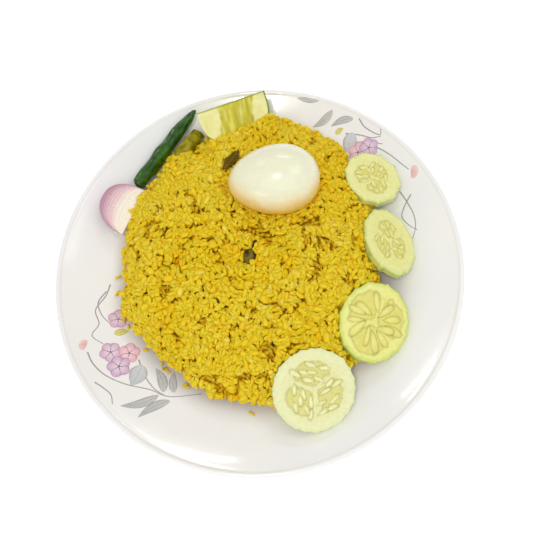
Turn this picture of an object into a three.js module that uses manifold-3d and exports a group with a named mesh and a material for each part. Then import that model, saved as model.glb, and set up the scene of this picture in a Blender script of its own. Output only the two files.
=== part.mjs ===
// A dinner plate of yellow biryani: the heap of rice, a peeled boiled egg, four cucumber slices, a lime
// wedge, an onion wedge, a raw and a cooked green chili, a bay leaf and a cardamom pod.
// Millimetres, +Z up. The origin is on the table at the centre of the plate's foot, +Y points away from
// whoever eats, and +X to their right.
import * as THREE from 'three';
import { mergeVertices } from 'three/addons/utils/BufferGeometryUtils.js';
import Module from 'manifold-3d';

const wasm = await Module();
wasm.setup();

// ---- Driving dimensions ----

const GAP = 0.3; // clearance between two pieces that touch

const PLATE = {
  rimRadius: 127,
  rimHeight: 21.5,
  floorRadius: 66, // flat middle, where the curved wall begins
  floorHeight: 5.6,
  thickness: 3.6,
  footInner: 59,
  footOuter: 65,
  segments: 64,
};

// The heap's edge is given as its distance from the heap's centre every 30 degrees, from +X round to +Y.
const HEAP = {
  centre: [-5, 12],
  edge: [86, 88, 97, 98, 91, 88, 86, 92, 92, 96, 100, 94],
  height: 32,
  steepness: 3.5, // how late towards the edge the flat top turns down
  shoulder: 0.6, // how round that turn is
  lumpHeight: 1.3,
  segments: 48,
};

const EGG = { length: 56, width: 42.8, taper: 0.13, centre: [12.5, 45.6, 47.4], turn: 3, dip: 4 };

const SLICE = { thickness: 5.5, bevel: 0.6, facets: 13, faceting: 0.45, outlinePoints: 39 };
// Each slice: its middle, its half length along the heap's edge, its half width up the heap's side,
// the way it faces outwards (degrees from +X), and how far it leans (degrees from level).
const SLICES = [
  { centre: [73, 57.2, 21.4], along: 19.6, across: 17.4, facing: 32, lean: 10 },
  { centre: [81.6, 14.4, 19.6], along: 23.2, across: 16.8, facing: 16, lean: 24 },
  { centre: [70.8, -37.4, 21.4], along: 25, across: 22.2, facing: -22, lean: 21 },
  { centre: [35.2, -77.4, 22.8], along: 25, across: 24, facing: -50, lean: 16 },
];

const LIME = {
  length: 46, radius: 22, angle: 70, ridgeWidth: 1.2, fullness: 3.6,
  ridge: [-17, 105.8, 39.5], turn: 20, roll: -30,
};
const ONION = {
  length: 33, radius: 22.5, angle: 27, ridgeWidth: 1, fullness: 2.3,
  ridge: [-81.4, 39.6, 16.6], turn: 66.5, roll: 104,
};

const RAW_CHILI = {
  butt: [-81.1, 58.5, 17], tip: [-43, 110.6, 24.4], sag: -1.4, bow: 0.9,
  radius: 4.9, buttRadius: 4.6, tipRadius: 1.8, wrinkle: 0.05,
};
const COOKED_CHILI = {
  butt: [-39.5, 96.5, 20.5], tip: [-59, 67, 15.5], sag: 1.2, bow: -0.8,
  radius: 5.2, buttRadius: 4.2, tipRadius: 1.8, wrinkle: 0.1,
};

const BAY_LEAF = { length: 17, width: 9.6, thickness: 0.8, centre: [-15.4, 66.6, 35.4] };
const POD = { length: 11, radius: 3.9, ribs: 3, centre: [-1.9, 0.4, 37.2] };

// ---- Colours and finishes ----

function finish(color, roughness) {
  return new THREE.MeshStandardMaterial({ color, roughness, metalness: 0 });
}

const porcelainWhite = () => finish(0xf3f0ec, 0.12);
const riceYellow = () => finish(0xe6c426, 0.6);
const eggWhite = () => finish(0xf2efd8, 0.25);
const cucumberFlesh = () => finish(0xe2e6a2, 0.35);
const limePulp = () => finish(0xd3d25e, 0.3);
const onionPink = () => finish(0xe6cdd2, 0.35);
const chiliGreen = () => finish(0x1f4d16, 0.25);
const cookedOlive = () => finish(0x74690e, 0.35);
const leafBrown = () => finish(0x5c4a16, 0.6);
const podBrown = () => finish(0x4a3a14, 0.6);

// ---- Solids and cuts ----

// A closed body through a row of rings, each a loop of the same number of points, with flat ends.
function loft(rings) {
  const count = rings[0].length;
  const points = rings.flat();
  const first = points.length;
  const last = first + 1;
  points.push(middle(rings[0]), middle(rings[rings.length - 1]));
  const index = [];
  for (let i = 0; i < count; i += 1) {
    const next = (i + 1) % count;
    index.push(first, next, i);
    for (let ring = 0; ring + 1 < rings.length; ring += 1) {
      const a = ring * count + i;
      const b = ring * count + next;
      index.push(a, b, b + count, a, b + count, a + count);
    }
    const end = (rings.length - 1) * count;
    index.push(last, end + i, end + next);
  }
  const geometry = new THREE.BufferGeometry().setFromPoints(points);
  geometry.setIndex(index);
  geometry.computeVertexNormals();
  return geometry;
}

function middle(ring) {
  const sum = ring.reduce((total, point) => total.add(point), new THREE.Vector3());
  return sum.divideScalar(ring.length);
}

// The manifold solid of a mesh where it stands, with shared corners merged and empty triangles dropped.
function toSolid(mesh) {
  mesh.updateWorldMatrix(true, false);
  const bare = mesh.geometry.clone().applyMatrix4(mesh.matrixWorld);
  bare.deleteAttribute('normal');
  bare.deleteAttribute('uv');
  const merged = mergeVertices(bare, 1e-4);
  const corners = merged.index.array;
  const triangles = [];
  for (let i = 0; i < corners.length; i += 3) {
    const [a, b, c] = corners.slice(i, i + 3);
    if (a !== b && b !== c && c !== a) triangles.push(a, b, c);
  }
  return new wasm.Manifold(new wasm.Mesh({
    numProp: 3,
    vertProperties: new Float32Array(merged.attributes.position.array),
    triVerts: new Uint32Array(triangles),
  }));
}

function toGeometry(solid) {
  const { vertProperties, triVerts } = solid.getMesh();
  const geometry = new THREE.BufferGeometry();
  geometry.setAttribute('position', new THREE.BufferAttribute(vertProperties, 3));
  geometry.setIndex(new THREE.BufferAttribute(triVerts, 1));
  geometry.computeVertexNormals();
  return geometry;
}

function named(name, geometry, material) {
  const mesh = new THREE.Mesh(geometry, material);
  mesh.name = name;
  return mesh;
}

const radians = THREE.MathUtils.degToRad;

// ---- Plate ----

// Height of the plate's upper face at a distance from its centre: flat, then a wall curving upwards.
function plateTop(distance) {
  const wall = PLATE.rimRadius - PLATE.thickness / 2 - PLATE.floorRadius;
  const along = Math.max(0, distance - PLATE.floorRadius) / wall;
  return PLATE.floorHeight + (PLATE.rimHeight - PLATE.floorHeight) * along ** 2;
}

function plate() {
  const { thickness, footInner, footOuter, floorHeight, rimRadius, rimHeight } = PLATE;
  const under = floorHeight - thickness;
  const outline = [[0, under], [footInner - 1, under], [footInner, 0.4], [footInner + 0.6, 0]];
  outline.push([footOuter - 0.6, 0], [footOuter, 0.4], [footOuter + 1, under]);
  for (let radius = 75; radius < rimRadius - 6; radius += 11) {
    outline.push([radius, plateTop(radius) - thickness]);
  }
  const lip = thickness / 2;
  const lipSteps = 5;
  const underWallAngle = -50;
  for (let step = 0; step <= lipSteps; step += 1) {
    const angle = radians(underWallAngle + (150 - underWallAngle) * (step / lipSteps));
    outline.push([rimRadius - lip + lip * Math.cos(angle), rimHeight - lip + lip * Math.sin(angle)]);
  }
  for (let radius = 118; radius > PLATE.floorRadius; radius -= 8) {
    outline.push([radius, plateTop(radius)]);
  }
  outline.push([PLATE.floorRadius - 6, floorHeight], [0, floorHeight]);
  const profile = outline.map(([radius, height]) => new THREE.Vector2(radius, height));
  const geometry = new THREE.LatheGeometry(profile, PLATE.segments);
  geometry.rotateX(Math.PI / 2);
  return named('plate', geometry, porcelainWhite());
}

// ---- Rice ----

// Distance from the heap's centre to its edge, smooth between the distances that HEAP.edge gives.
function heapEdge(angle) {
  const count = HEAP.edge.length;
  const place = ((angle / (2 * Math.PI)) * count + count) % count;
  const before = Math.floor(place);
  const at = (offset) => HEAP.edge[(before + offset + count) % count];
  const t = place - before;
  const bend = at(-1) - 3 * at(0) + 3 * at(1) - at(2);
  const turn = 2 * at(-1) - 5 * at(0) + 4 * at(1) - at(2);
  return at(0) + 0.5 * t * (at(1) - at(-1) + t * (turn - t * bend));
}

// The ragged edge's own ins and outs, which don't reach far into the heap.
function raggedness(angle, part) {
  return (1.6 * Math.sin(9 * angle) + 1.1 * Math.sin(14 * angle + 1)) * part ** 8;
}

function lump(x, y) {
  const wide = Math.sin(x / 8.5 + 1.3 * Math.sin(y / 13)) * Math.cos(y / 7.6 + Math.sin(x / 16));
  const fine = 0.5 * Math.sin(x / 4.1 + y / 5.3) * Math.sin(y / 3.9 - x / 7.1);
  return HEAP.lumpHeight * (wide + fine);
}

function ricePoint(angle, part, top) {
  const reach = heapEdge(angle) * part + raggedness(angle, part);
  const x = HEAP.centre[0] + reach * Math.cos(angle);
  const y = HEAP.centre[1] + reach * Math.sin(angle);
  const under = plateTop(Math.hypot(x, y)) + 2 * GAP;
  if (!top) return new THREE.Vector3(x, y, under);
  const level = plateTop(0) + HEAP.height * (1 - part ** HEAP.steepness) ** HEAP.shoulder;
  const fade = 1 - part ** 6;
  return new THREE.Vector3(x, y, Math.max(level + lump(x, y) * fade, under + 1.2));
}

function riceHeap() {
  const topParts = [0.06, 0.18, 0.31, 0.44, 0.57, 0.69, 0.79, 0.88, 0.94, 0.98, 1];
  const underParts = [0.96, 0.84, 0.7, 0.35];
  const ring = (part, top) => Array.from({ length: HEAP.segments }, (_, step) => (
    ricePoint((step / HEAP.segments) * 2 * Math.PI, part, top)
  ));
  const under = [...underParts].reverse().map((part) => ring(part, false));
  const top = [...topParts].reverse().map((part) => ring(part, true));
  return named('rice', loft([...under, ...top]), riceYellow());
}

// ---- Egg ----

// An egg is a ball drawn out along X, a little fatter towards its blunt +X end.
function eggShape(length, width, taper, around, along) {
  const geometry = new THREE.SphereGeometry(0.5, around, along);
  geometry.rotateZ(-Math.PI / 2);
  const position = geometry.attributes.position;
  for (let i = 0; i < position.count; i += 1) {
    const x = position.getX(i);
    const girth = width * (1 + taper * 2 * x - taper * taper);
    position.setXYZ(i, x * length, position.getY(i) * girth, position.getZ(i) * girth);
  }
  geometry.computeVertexNormals();
  return geometry;
}

function egg(swell = 0) {
  const size = [EGG.length + 2 * swell, EGG.width + 2 * swell];
  const mesh = named('egg', eggShape(...size, EGG.taper, 20, 14), eggWhite());
  mesh.position.set(...EGG.centre);
  mesh.rotation.set(0, radians(-EGG.dip), radians(EGG.turn), 'ZYX');
  return mesh;
}

// ---- Cucumber slices ----

// A peeled slice's edge: an oval whose round is broken by the knife's flat strokes.
function sliceOutline(halfLength, halfWidth) {
  const shape = new THREE.Shape();
  const stroke = (2 * Math.PI) / SLICE.facets;
  for (let i = 0; i < SLICE.outlinePoints; i += 1) {
    const angle = (i / SLICE.outlinePoints) * 2 * Math.PI;
    const offCentre = (angle % stroke) - stroke / 2;
    const flat = Math.cos(stroke / 2) / Math.cos(offCentre);
    const reach = 1 - SLICE.faceting * (1 - flat);
    const x = halfWidth * reach * Math.cos(angle);
    const y = halfLength * reach * Math.sin(angle);
    if (i === 0) shape.moveTo(x, y);
    else shape.lineTo(x, y);
  }
  shape.closePath();
  return shape;
}

// The slice lies level with its width along X, then leans outwards and turns to the way it faces.
// swell grows it all round, and rise makes it that much thicker upwards.
function cucumberSlice(number, { centre, along, across, facing, lean }, swell = 0, rise = 0) {
  const bevel = SLICE.bevel;
  const outline = sliceOutline(along - bevel + swell, across - bevel + swell);
  const depth = SLICE.thickness - 2 * bevel + 2 * swell + rise;
  const settings = { depth, bevelEnabled: true, bevelSize: bevel, bevelThickness: bevel, bevelSegments: 1 };
  const geometry = new THREE.ExtrudeGeometry(outline, settings);
  geometry.translate(0, 0, bevel - SLICE.thickness / 2 - swell);
  const mesh = named(`cucumber_${number}`, geometry, cucumberFlesh());
  mesh.position.set(...centre);
  mesh.rotation.set(0, radians(lean), radians(facing), 'ZYX');
  return mesh;
}

// ---- Lime and onion wedges ----

// A wedge of a round fruit, cut along its core: the core is a narrow flat ridge along X at the top, and
// the two cut faces go down from it to the curved skin.
function wedgeShape({ length, radius, angle, ridgeWidth, fullness }, swell) {
  const places = [-1, -0.95, -0.86, -0.7, -0.5, -0.25, 0, 0.25, 0.5, 0.7, 0.86, 0.95, 1];
  const skinSteps = 8;
  const half = radians(angle) / 2;
  const rings = places.map((place) => {
    const x = place * (length / 2 + swell);
    const reach = radius * Math.max(1 - Math.abs(place) ** fullness, 0.02) ** (1 / fullness) + swell;
    const ridge = ridgeWidth / 2 + swell;
    const ring = [new THREE.Vector3(x, ridge, swell), new THREE.Vector3(x, -ridge, swell)];
    for (let step = 0; step <= skinSteps; step += 1) {
      const turn = -half + (2 * half * step) / skinSteps;
      const side = Math.sign(turn) * ridge;
      ring.push(new THREE.Vector3(x, reach * Math.sin(turn) + side, -reach * Math.cos(turn)));
    }
    return ring;
  });
  return loft(rings);
}

function wedge(name, size, material, swell) {
  const mesh = named(name, wedgeShape(size, swell), material);
  mesh.position.set(...size.ridge);
  mesh.rotation.set(radians(size.roll), 0, radians(size.turn), 'ZYX');
  return mesh;
}

const limeWedge = (swell = 0) => wedge('lime_wedge', LIME, limePulp(), swell);
const onionWedge = (swell = 0) => wedge('onion_wedge', ONION, onionPink(), swell);

// ---- Chilies ----

// Thickness along a chili: blunt at the butt, full over the first two thirds, then narrowing to the tip.
function chiliRadius(size, part) {
  const { radius, buttRadius, tipRadius } = size;
  const swelling = Math.sin(Math.PI * Math.min(part / 0.95, 1) ** 0.9);
  const ends = buttRadius + (tipRadius - buttRadius) * part;
  return ends + (radius - ends) * Math.max(swelling, 0) ** 0.5;
}

function chili(name, size, material, swell = 0) {
  const butt = new THREE.Vector3(...size.butt);
  const tip = new THREE.Vector3(...size.tip);
  const forward = tip.clone().sub(butt).normalize();
  const side = new THREE.Vector3(0, 0, 1).cross(forward).normalize();
  const up = forward.clone().cross(side);
  const around = 10;
  const steps = 15;
  const rings = [];
  for (let step = 0; step <= steps; step += 1) {
    const part = step / steps;
    const arch = Math.sin(Math.PI * part);
    const centre = butt.clone().lerp(tip, part);
    centre.addScaledVector(up, size.sag * arch);
    centre.addScaledVector(side, size.bow * arch);
    if (step === 0) centre.addScaledVector(forward, -swell);
    if (step === steps) centre.addScaledVector(forward, swell);
    const blunt = step === 0 || step === steps ? 0.72 : 1;
    const radius = chiliRadius(size, part) * blunt + swell;
    rings.push(Array.from({ length: around }, (_, spoke) => {
      const angle = (spoke / around) * 2 * Math.PI;
      const crease = 1 - size.wrinkle * Math.sin(3 * angle + 9 * part) * Math.sin(11 * part + 2);
      return centre.clone()
        .addScaledVector(side, radius * crease * Math.cos(angle))
        .addScaledVector(up, radius * crease * Math.sin(angle));
    }));
  }
  return named(name, loft(rings), material);
}

const rawChili = (swell = 0) => chili('green_chili', RAW_CHILI, chiliGreen(), swell);
const cookedChili = (swell = 0) => chili('cooked_chili', COOKED_CHILI, cookedOlive(), swell);

// ---- Whole spices ----

// A piece of bay leaf: pointed at both ends, cupped along its midrib, one side pressed into the rice.
function bayLeaf(swell = 0) {
  const { length, width, thickness, centre } = BAY_LEAF;
  const halfThickness = thickness / 2 + swell;
  const rings = [];
  for (let step = 0; step <= 8; step += 1) {
    const part = step / 8;
    const x = (part - 0.5) * (length + 2 * swell);
    const half = (width / 2) * Math.sin(Math.PI * (0.06 + 0.88 * part)) + swell;
    const cup = (y) => 0.02 * y * y + 0.006 * x * x;
    const across = [-half, -half / 2, 0, half / 2, half];
    const upper = across.map((y) => new THREE.Vector3(x, y, cup(y) + halfThickness));
    const lower = across.map((y) => new THREE.Vector3(x, y, cup(y) - halfThickness));
    rings.push([...upper, ...lower.reverse()].reverse());
  }
  const mesh = named('bay_leaf', loft(rings), leafBrown());
  mesh.position.set(...centre);
  mesh.rotation.set(radians(-24), radians(10), radians(62), 'ZYX');
  return mesh;
}

// A cardamom pod: a ribbed spindle, half sunk in the rice.
function cardamomPod(swell = 0) {
  const steps = 8;
  const around = 12;
  const rings = [];
  for (let step = 0; step <= steps; step += 1) {
    const part = step / steps;
    const x = (part - 0.5) * (POD.length + 2 * swell);
    const girth = POD.radius * Math.sin(Math.PI * (0.07 + 0.86 * part)) ** 0.8 + swell;
    rings.push(Array.from({ length: around }, (_, spoke) => {
      const angle = (spoke / around) * 2 * Math.PI;
      const reach = girth * (1 + 0.07 * Math.cos(POD.ribs * angle));
      return new THREE.Vector3(x, reach * Math.cos(angle), reach * Math.sin(angle));
    }));
  }
  const mesh = named('cardamom_pod', loft(rings), podBrown());
  mesh.position.set(...POD.centre);
  mesh.rotation.set(0, radians(12), radians(75), 'ZYX');
  return mesh;
}

// ---- The plated meal ----

// The heap gives way to everything pressed into it, and keeps the gap to each piece. Nothing of the heap
// stays on top of a cucumber slice.
function riceRoundToppings() {
  const heap = riceHeap();
  const toppings = [egg, limeWedge, onionWedge, rawChili, cookedChili, bayLeaf, cardamomPod];
  const clearances = toppings.map((make) => toSolid(make(GAP)));
  SLICES.forEach((slice, i) => clearances.push(toSolid(cucumberSlice(i + 1, slice, GAP, 30))));
  const cut = clearances.reduce((solid, clearance) => solid.subtract(clearance), toSolid(heap));
  heap.geometry = toGeometry(cut);
  return heap;
}

function platedMeal() {
  const meal = new THREE.Group();
  meal.add(plate(), riceRoundToppings(), egg());
  meal.add(limeWedge(), onionWedge(), rawChili(), cookedChili(), bayLeaf(), cardamomPod());
  SLICES.forEach((slice, i) => meal.add(cucumberSlice(i + 1, slice)));
  return meal;
}

export default platedMeal();
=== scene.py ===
"""A plate of yellow biryani with an egg, cucumber slices, a lime and an onion wedge and two chilies.

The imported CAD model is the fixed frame. Each solid is replaced by a detailed mesh in its place, and the
heap's by grains of rice over a smaller core. Shapes are worked out in millimetres in the frame's axes, and
build_piece() turns them into metres.
"""

import math
from itertools import product

import bpy
import numpy as np
from mathutils import Euler, Matrix, Vector
from mathutils.bvhtree import BVHTree
from mathutils.kdtree import KDTree


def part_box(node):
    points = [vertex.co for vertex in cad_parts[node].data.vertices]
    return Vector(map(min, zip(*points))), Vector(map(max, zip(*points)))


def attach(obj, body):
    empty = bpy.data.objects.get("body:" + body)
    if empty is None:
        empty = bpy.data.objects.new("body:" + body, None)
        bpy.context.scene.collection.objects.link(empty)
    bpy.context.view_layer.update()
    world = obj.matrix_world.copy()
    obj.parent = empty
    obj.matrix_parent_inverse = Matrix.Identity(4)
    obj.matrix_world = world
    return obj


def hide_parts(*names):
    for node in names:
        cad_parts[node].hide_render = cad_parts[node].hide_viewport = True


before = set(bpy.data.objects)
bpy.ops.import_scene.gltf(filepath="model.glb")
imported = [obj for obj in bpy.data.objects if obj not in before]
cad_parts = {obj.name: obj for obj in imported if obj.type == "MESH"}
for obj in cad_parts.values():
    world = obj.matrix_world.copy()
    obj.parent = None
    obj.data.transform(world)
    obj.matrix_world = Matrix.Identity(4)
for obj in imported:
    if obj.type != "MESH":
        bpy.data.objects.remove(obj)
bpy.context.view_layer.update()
BODY = "root"
MM = 0.001

# ---- Driving dimensions, in millimetres and degrees ----
#
# They are those of the CAD solids. This script's own are the heap's edge and grain_share, which place the
# grains, the looks of the slices, the bank by the lime, and where pieces are clear of rice.

PLATE = {
    "rim_radius": 127,
    "rim_height": 21.5,
    "floor_radius": 66,
    "floor_height": 5.6,
    "thickness": 3.6,
    "foot_inner": 59,
    "foot_outer": 65,
}
HEAP = {
    "centre": (-5, 12),
    "edge": (83, 88, 97, 98, 90, 85, 84, 90, 90, 100, 103, 96),
    "grain_share": 0.962,
    "height": 32,
    "steepness": 3.5,
    "shoulder": 0.6,
    "lump_height": 1.3,
    "lift": 0.6,
}
EGG = {"length": 56, "width": 42.8, "taper": 0.13, "turn": 3, "dip": 4}
SLICE_THICKNESS = 5.5
# Each slice's half length and half width, the way it faces and its lean; then its looks: the knife strokes
# round its edge, the turn of its three seed chambers and how far out they reach, the seeds in each, the
# degrees and the shares of the reach that they spread over, a seed's half length (as a share of the slice)
# and its turn from pointing outwards, and how pale the flesh is.
SLICES = {
    1: {"along": 19.6, "across": 17.4, "facing": 32, "lean": 10, "strokes": 10, "turn": 15, "reach": 0.62,
        "seeds": 5, "fan": 90, "from": 0.35, "to": 0.85, "seed": 0.17, "twist": 20, "pale": 0.5},
    2: {"along": 23.2, "across": 16.8, "facing": 16, "lean": 24, "strokes": 11, "turn": 80, "reach": 0.62,
        "seeds": 5, "fan": 90, "from": 0.35, "to": 0.85, "seed": 0.15, "twist": 20, "pale": 0.4},
    3: {"along": 25, "across": 22.2, "facing": -22, "lean": 21, "strokes": 15, "turn": 150, "reach": 0.82,
        "seeds": 4, "fan": 104, "from": 0.46, "to": 0.74, "seed": 0.26, "twist": 0, "pale": 0.0},
    4: {"along": 25, "across": 24, "facing": -50, "lean": 16, "strokes": 22, "turn": 150, "reach": 0.7,
        "seeds": 7, "fan": 92, "from": 0.38, "to": 0.88, "seed": 0.15, "twist": 60, "pale": 1.0},
}
LIME = {
    "length": 46, "radius": 22, "angle": 70, "ridge_width": 1.2, "fullness": 3.6, "turn": 20, "roll": -30,
}
ONION = {
    "length": 33, "radius": 22.5, "angle": 27, "ridge_width": 1, "fullness": 2.3, "turn": 66.5, "roll": 104,
}
RAW_CHILI = {
    "butt": (-81.1, 58.5, 17), "tip": (-43, 110.6, 24.4), "sag": -1.4, "bow": 0.9,
    "radius": 4.9, "butt_radius": 4.6, "tip_radius": 1.8, "wrinkle": 0.05,
}
COOKED_CHILI = {
    "butt": (-39.5, 96.5, 20.5), "tip": (-59, 67, 15.5), "sag": 1.2, "bow": -0.8,
    "radius": 5.2, "butt_radius": 4.2, "tip_radius": 1.8, "wrinkle": 0.1,
}
BAY_LEAF = {"length": 17, "width": 9.6}
POD = {"length": 11, "radius": 3.9, "ribs": 3}
# The rice banked up over the lime's lower edge: where it starts beyond the lime's middle, how much nearer
# that is to the right, how far its top is below the lime's, how it slopes away and how far out it reaches,
# the middle of its length along the lime, its half length, and how far and how fast it falls at its ends.
LIME_BANK = {
    "out": 9.6, "skew": 0.14, "drop": 6.2, "slope": 0.12, "breadth": 20, "middle": 2, "half_length": 20,
    "end_drop": 14, "end_length": 8,
}
# From where to where along Y these pieces are clear of rice, which buries the rest of them.
CLEAR_PART = {"cooked_green_chili": (85, 120), "bay_leaf_piece": (50, 69)}


# ---- Colours and numbers ----

def colour(red, green, blue):
    """A linear colour from the usual 0 to 255 screen values."""
    screen = np.array([red, green, blue]) / 255
    return np.where(screen <= 0.04045, screen / 12.92, ((screen + 0.055) / 1.055) ** 2.4)


def blend(low, high, share):
    """Between two colours, or two rows of colours, by a share from 0 to 1 at each point."""
    share = np.clip(np.asarray(share, float), 0, 1)[..., None]
    return np.asarray(low) * (1 - share) + np.asarray(high) * share


def ease(low, high, value):
    """0 at or below low, 1 at or above high, and smooth between (low may be the larger of the two)."""
    share = np.clip((value - low) / (high - low), 0, 1)
    return share * share * (3 - 2 * share)


def wobble(points, size, seed=0):
    """Smooth noise from -1 to 1 at each point, with features about size across."""
    cells = 32
    levels = np.random.default_rng(seed).uniform(-1, 1, (cells, cells, cells))
    place = np.asarray(points, float) / size
    corner = np.floor(place).astype(int)
    part = place - corner
    part = part * part * (3 - 2 * part)
    total = 0
    for offset in product((0, 1), repeat=3):
        weight = np.prod(np.where(offset, part, 1 - part), axis=-1)
        index = (corner + offset) % cells
        total = total + weight * levels[index[..., 0], index[..., 1], index[..., 2]]
    return total


def unit(vectors):
    return vectors / np.maximum(np.linalg.norm(vectors, axis=-1, keepdims=True), 1e-9)


def round_angles(count):
    """Even steps once round a circle, in radians."""
    return np.arange(count) * 2 * np.pi / count


def heading(degrees):
    """The direction (x, y) at an angle from +X."""
    angle = math.radians(degrees)
    return np.array([math.cos(angle), math.sin(angle)])


def curve_point(a, b, c, d, share):
    """A share of the way from b to c on a smooth curve through a, b, c and d."""
    bend = 2 * a - 5 * b + 4 * c - d + share * (3 * (b - c) + d - a)
    return b + 0.5 * share * (c - a + share * bend)


# ---- Materials ----

class Finish:
    """A material under construction: a Principled shader, and short calls that feed it."""

    def __init__(self, name, gloss=0.5, specular=0.5, coat=0.0, bleed=0.0, bleed_depth=1.0,
                 bleed_tint=(1.0, 0.7, 0.4)):
        self.material = bpy.data.materials.new(name)
        self.material.use_nodes = True
        self.tree = self.material.node_tree
        self.shader = self.tree.nodes["Principled BSDF"]
        self.set("Specular IOR Level", specular)
        self.set("Coat Weight", coat)
        self.set("Coat Roughness", gloss * 0.6)
        self.set("Subsurface Weight", bleed)
        self.set("Subsurface Radius", bleed_tint)
        self.set("Subsurface Scale", bleed_depth * MM)

    def set(self, socket, value):
        self.feed(self.shader.inputs[socket], value)

    def feed(self, socket, value):
        if isinstance(value, bpy.types.NodeSocket):
            self.tree.links.new(value, socket)
        else:
            socket.default_value = value

    def node(self, kind, inputs, **settings):
        made = self.tree.nodes.new("ShaderNode" + kind)
        for name, value in settings.items():
            setattr(made, name, value)
        for name, value in inputs.items():
            self.feed(made.inputs[name], value)
        return made

    def tint(self):
        """The colour that the mesh gives each point."""
        return self.node("Attribute", {}, attribute_name="tint").outputs["Color"]

    def noise(self, size, detail=3.0, stretch=(1, 1, 1)):
        """Noise with features size millimetres across, drawn out along an axis where stretch is over 1."""
        place = self.node("TexCoord", {}).outputs["Object"]
        scale = [1 / (size * MM * s) for s in stretch]
        scaled = self.node("Mapping", {"Vector": place, "Scale": scale}).outputs["Vector"]
        inputs = {"Vector": scaled, "Scale": 1.0, "Detail": detail}
        return self.node("TexNoise", inputs).outputs["Fac"]

    def cells(self, size):
        """Distance to the middle of the nearest of many cells, size millimetres apart."""
        place = self.node("TexCoord", {}).outputs["Object"]
        return self.node("TexVoronoi", {"Vector": place, "Scale": 1 / (size * MM)}).outputs["Distance"]

    def ramp(self, share, *stops):
        """A colour ramp; each stop is a place from 0 to 1 and a linear colour."""
        made = self.node("ValToRGB", {"Fac": share})
        points = made.color_ramp.elements
        while len(points) < len(stops):
            points.new(0.5)
        for point, (place, shade) in zip(points, stops):
            point.position = place
            point.color = (*shade, 1)
        return made.outputs["Color"]

    def spread(self, share, low, high):
        """A number between low and high that follows a noise's middle range."""
        inputs = {"Value": share, "From Min": 0.3, "From Max": 0.7, "To Min": low, "To Max": high}
        return self.node("MapRange", inputs).outputs["Result"]

    def multiply(self, first, second):
        made = self.node("Mix", {}, data_type="RGBA", blend_type="MULTIPLY")
        for place, value in ((0, 1.0), (6, first), (7, second)):
            self.feed(made.inputs[place], value)
        return made.outputs[2]

    def mottle(self, base, share, low, high):
        """A base colour darkened and lightened by a noise, from low to high times its brightness."""
        level = self.spread(share, low, high)
        grey = self.node("CombineColor", {"Red": level, "Green": level, "Blue": level}).outputs["Color"]
        return self.multiply(base, grey)

    def relief(self, height, depth, under=None):
        """A bump depth millimetres high, on top of another bump if one is given."""
        inputs = {"Height": height, "Distance": depth * MM, "Strength": 1.0}
        if under is not None:
            inputs["Normal"] = under
        return self.node("Bump", inputs).outputs["Normal"]

    def complete(self, base, roughness, normal):
        self.set("Base Color", base)
        self.set("Roughness", roughness)
        self.set("Normal", normal)
        return self.material


def porcelain():
    f = Finish("porcelain", gloss=0.1, coat=0.6)
    shade = f.mottle(f.tint(), f.noise(38), 0.98, 1.01)
    waves = f.relief(f.noise(14, detail=1), 0.05)
    return f.complete(shade, f.spread(f.noise(6), 0.12, 0.2), f.relief(f.noise(0.9), 0.004, waves))


def printed_glaze():
    f = Finish("printed_glaze", gloss=0.12, coat=0.5)
    shade = f.mottle(f.tint(), f.noise(1.1, detail=4), 0.9, 1.08)
    return f.complete(shade, f.spread(f.noise(3), 0.16, 0.26), f.relief(f.noise(0.8), 0.006))


def rice_grain():
    f = Finish("rice_grain", gloss=0.5, specular=0.2, bleed=0.6, bleed_depth=2.4,
               bleed_tint=(1.0, 0.8, 0.06))
    shade = f.mottle(f.tint(), f.noise(1.3, detail=4), 0.9, 1.08)
    ridges = f.relief(f.noise(0.5, detail=2), 0.05)
    return f.complete(shade, f.spread(f.noise(1.8), 0.38, 0.6), ridges)


def rice_core_painted_shade():
    f = Finish("rice_core_painted_shade", specular=0.2)
    # Painted shade: the core is darker than the grains, so that the gaps between them read as shade.
    shade = f.ramp(f.noise(2.2, detail=4), (0.35, colour(196, 146, 0)), (0.65, colour(226, 180, 6)))
    return f.complete(shade, f.spread(f.noise(2), 0.6, 0.8), f.relief(f.cells(2.6), 0.8))


def boiled_egg():
    f = Finish("boiled_egg", gloss=0.26, specular=0.45, coat=0.35, bleed=0.35, bleed_depth=3,
               bleed_tint=(1.0, 0.85, 0.4))
    shade = f.mottle(f.tint(), f.noise(11, detail=2), 0.98, 1.01)
    dents = f.relief(f.noise(4.5, detail=2), 0.05)
    return f.complete(shade, f.spread(f.noise(5), 0.2, 0.3), f.relief(f.noise(0.6), 0.004, dents))


def wet_flesh(name, fine, depth, low=0.26, high=0.44, bleed=0.4):
    """Cut fruit: the mesh's own colours, mottled, with a wet sheen and light that bleeds through."""
    f = Finish(name, gloss=0.25, specular=0.45, coat=0.25, bleed=bleed, bleed_depth=2,
               bleed_tint=(0.9, 1.0, 0.4))
    shade = f.mottle(f.tint(), f.noise(fine * 2.6, detail=4), 0.95, 1.04)
    return f.complete(shade, f.spread(f.noise(fine * 3), low, high), f.relief(f.noise(fine), depth))


def lime_flesh():
    f = Finish("lime_flesh", gloss=0.4, specular=0.3, coat=0.08, bleed=0.4, bleed_depth=2,
               bleed_tint=(0.9, 1.0, 0.3))
    shade = f.mottle(f.tint(), f.noise(2.4, detail=3), 0.96, 1.04)
    pores = f.relief(f.cells(1.5), 0.05)
    return f.complete(shade, f.spread(f.noise(3), 0.34, 0.5), f.relief(f.noise(0.7), 0.02, pores))


def onion_flesh():
    f = Finish("onion_flesh", gloss=0.2, specular=0.5, coat=0.3, bleed=0.35, bleed_depth=1.5,
               bleed_tint=(1.0, 0.75, 0.8))
    shade = f.mottle(f.tint(), f.noise(1.6, detail=4), 0.94, 1.05)
    return f.complete(shade, f.spread(f.noise(2), 0.25, 0.42), f.relief(f.noise(0.9), 0.03))


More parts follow.
